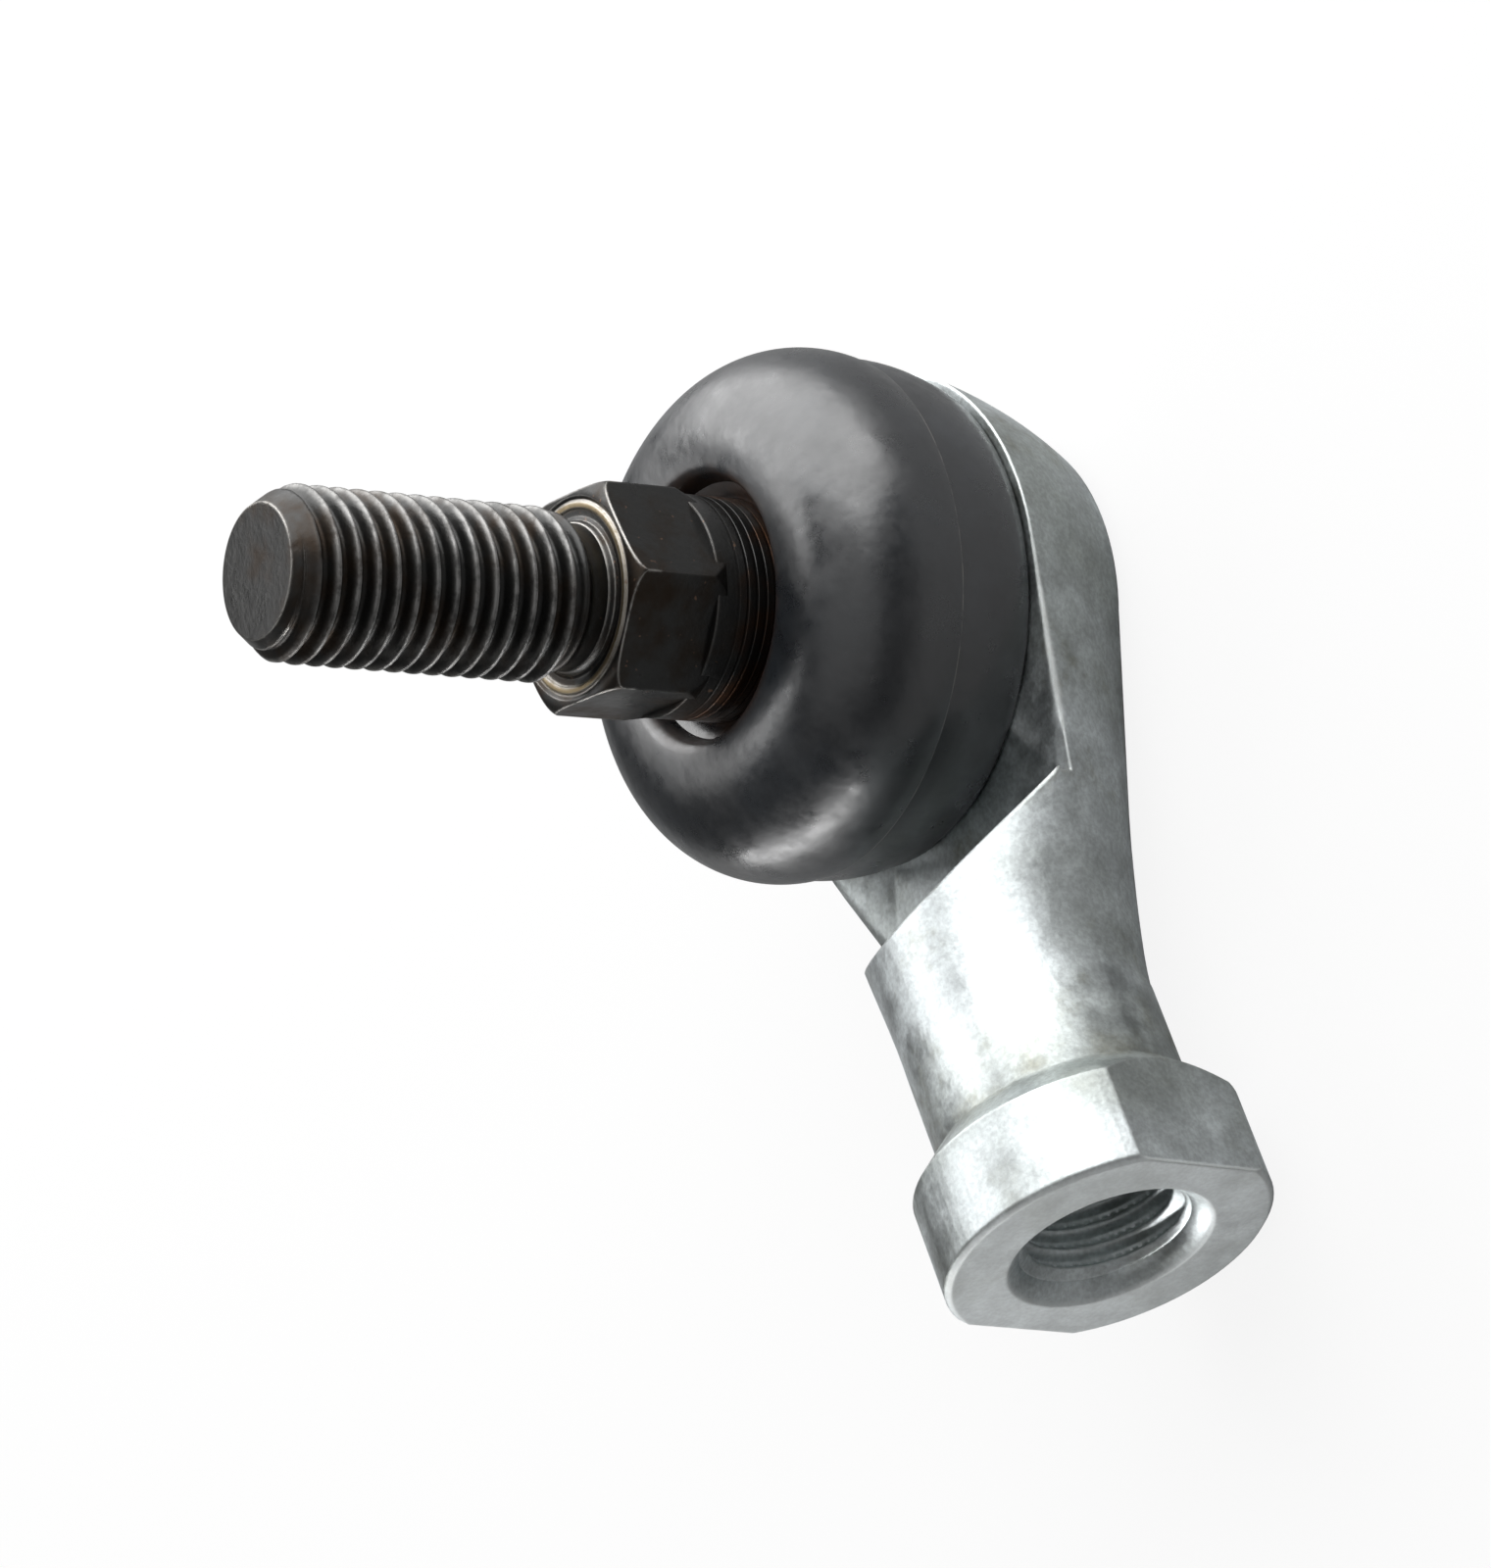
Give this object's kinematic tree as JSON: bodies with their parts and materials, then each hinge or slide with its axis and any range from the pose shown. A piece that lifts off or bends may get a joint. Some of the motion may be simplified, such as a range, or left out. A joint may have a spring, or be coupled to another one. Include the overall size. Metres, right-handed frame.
{
  "type": "angle ball joint",
  "caption": "Angle ball joint: forged holder with a female rod thread and wrench flats, a threaded ball stud at right angles, and a rubber dust boot.",
  "frame": {"origin": "Centre of the back face, on the stud axis", "axes": "+Z along the stud away from the holder, +X along the rod axis out of the thread mouth, +Y completes a right-handed frame"},
  "size_m": [0.0585, 0.031, 0.0508],
  "materials": {
    "zinc_plated_steel": "bluish zinc plating on a forged and turned surface, satin",
    "blackened_steel": "black oxide, oily, bright on the worn thread crests",
    "spring_steel": "bright drawn steel strip",
    "seat_plastic": "natural acetal, satin",
    "boot_rubber": "moulded synthetic rubber, satin"
  },
  "bodies": {
    "holder_body": {"holder": "zinc_plated_steel", "ball_seat": "seat_plastic", "end_cap": "zinc_plated_steel"},
    "boot_body": {"dust_boot": "boot_rubber"},
    "ring_body": {"lip_ring": "spring_steel"},
    "stud_body": {"ball_stud": "blackened_steel"}
  },
  "joints": [
    {"name": "boot_turn", "type": "hinge", "parent": "holder_body", "child": "boot_body", "pos_m": [0, 0, 0.0096], "axis": [0, 0, 1], "continuous": true},
    {"name": "stud_tilt", "type": "hinge", "parent": "boot_body", "child": "ring_body", "pos_m": [0, 0, 0.0096], "axis": [0, 1, 0], "range_deg": [-20, 20], "deforming": ["dust_boot"]},
    {"name": "stud_spin", "type": "hinge", "parent": "ring_body", "child": "stud_body", "pos_m": [0, 0, 0.0096], "axis": [0, 0, 1], "continuous": true}
  ]
}
